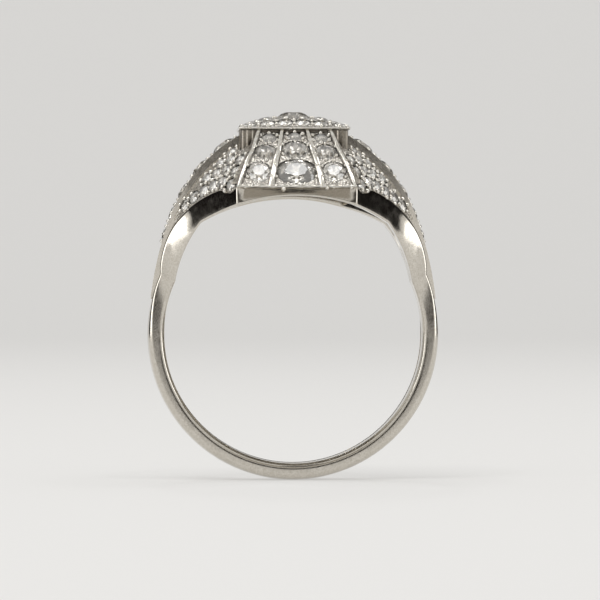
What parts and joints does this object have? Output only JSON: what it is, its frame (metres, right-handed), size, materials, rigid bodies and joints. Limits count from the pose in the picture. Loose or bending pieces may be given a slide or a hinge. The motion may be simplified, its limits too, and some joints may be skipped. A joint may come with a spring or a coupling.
{
  "type": "cocktail ring",
  "caption": "Domed cocktail ring with a raised rectangular plaque, panelled sides and tapering shoulders, pave set with faceted stones.",
  "frame": {"origin": "centre of the finger hole, half way along the band's width", "axes": "+Y along the finger axis, +Z from the finger hole to the plaque, +X to the right shoulder"},
  "size_m": [0.019, 0.0128, 0.024],
  "materials": {
    "platinum": "polished, with fine wear",
    "diamond": "faceted and polished"
  },
  "bodies": {
    "root": {"back_gallery_rail": "platinum", "back_lower_centre_stone": "diamond", "back_lower_left_stone": "diamond", "back_lower_right_stone": "diamond", "back_middle_centre_stone": "diamond", "back_middle_left_stone": "diamond", "back_middle_right_stone": "diamond", "back_panel": "platinum", "back_upper_row": "diamond", "front_gallery_rail": "platinum", "front_lower_centre_stone": "diamond", "front_lower_left_stone": "diamond", "front_lower_right_stone": "diamond", "front_middle_centre_stone": "diamond", "front_middle_left_stone": "diamond", "front_middle_right_stone": "diamond", "front_panel": "platinum", "front_upper_row": "diamond", "left_back_flank": "platinum", "left_back_middle_pave": "diamond", "left_back_rim_pave": "diamond", "left_back_upper_pave": "diamond", "left_box_wall": "platinum", "left_front_flank": "platinum", "left_front_middle_pave": "diamond", "left_front_rim_pave": "diamond", "left_front_upper_pave": "diamond", "left_rib_stone_1": "diamond", "left_rib_stone_2": "diamond", "left_rib_stone_3": "diamond", "left_rib_stone_4": "diamond", "left_rib_stone_5": "diamond", "left_shoulder_rib": "platinum", "plaque": "platinum", "plaque_back_row": "diamond", "plaque_centre_stone": "diamond", "plaque_collet": "platinum", "plaque_front_row": "diamond", "plaque_left_file": "diamond", "plaque_right_file": "diamond", "plaque_side_stones": "diamond", "right_back_flank": "platinum", "right_back_middle_pave": "diamond", "right_back_rim_pave": "diamond", "right_back_upper_pave": "diamond", "right_box_wall": "platinum", "right_front_flank": "platinum", "right_front_middle_pave": "diamond", "right_front_rim_pave": "diamond", "right_front_upper_pave": "diamond", "right_rib_stone_1": "diamond", "right_rib_stone_2": "diamond", "right_rib_stone_3": "diamond", "right_rib_stone_4": "diamond", "right_rib_stone_5": "diamond", "right_shoulder_rib": "platinum", "shank": "platinum"}
  },
  "joints": []
}
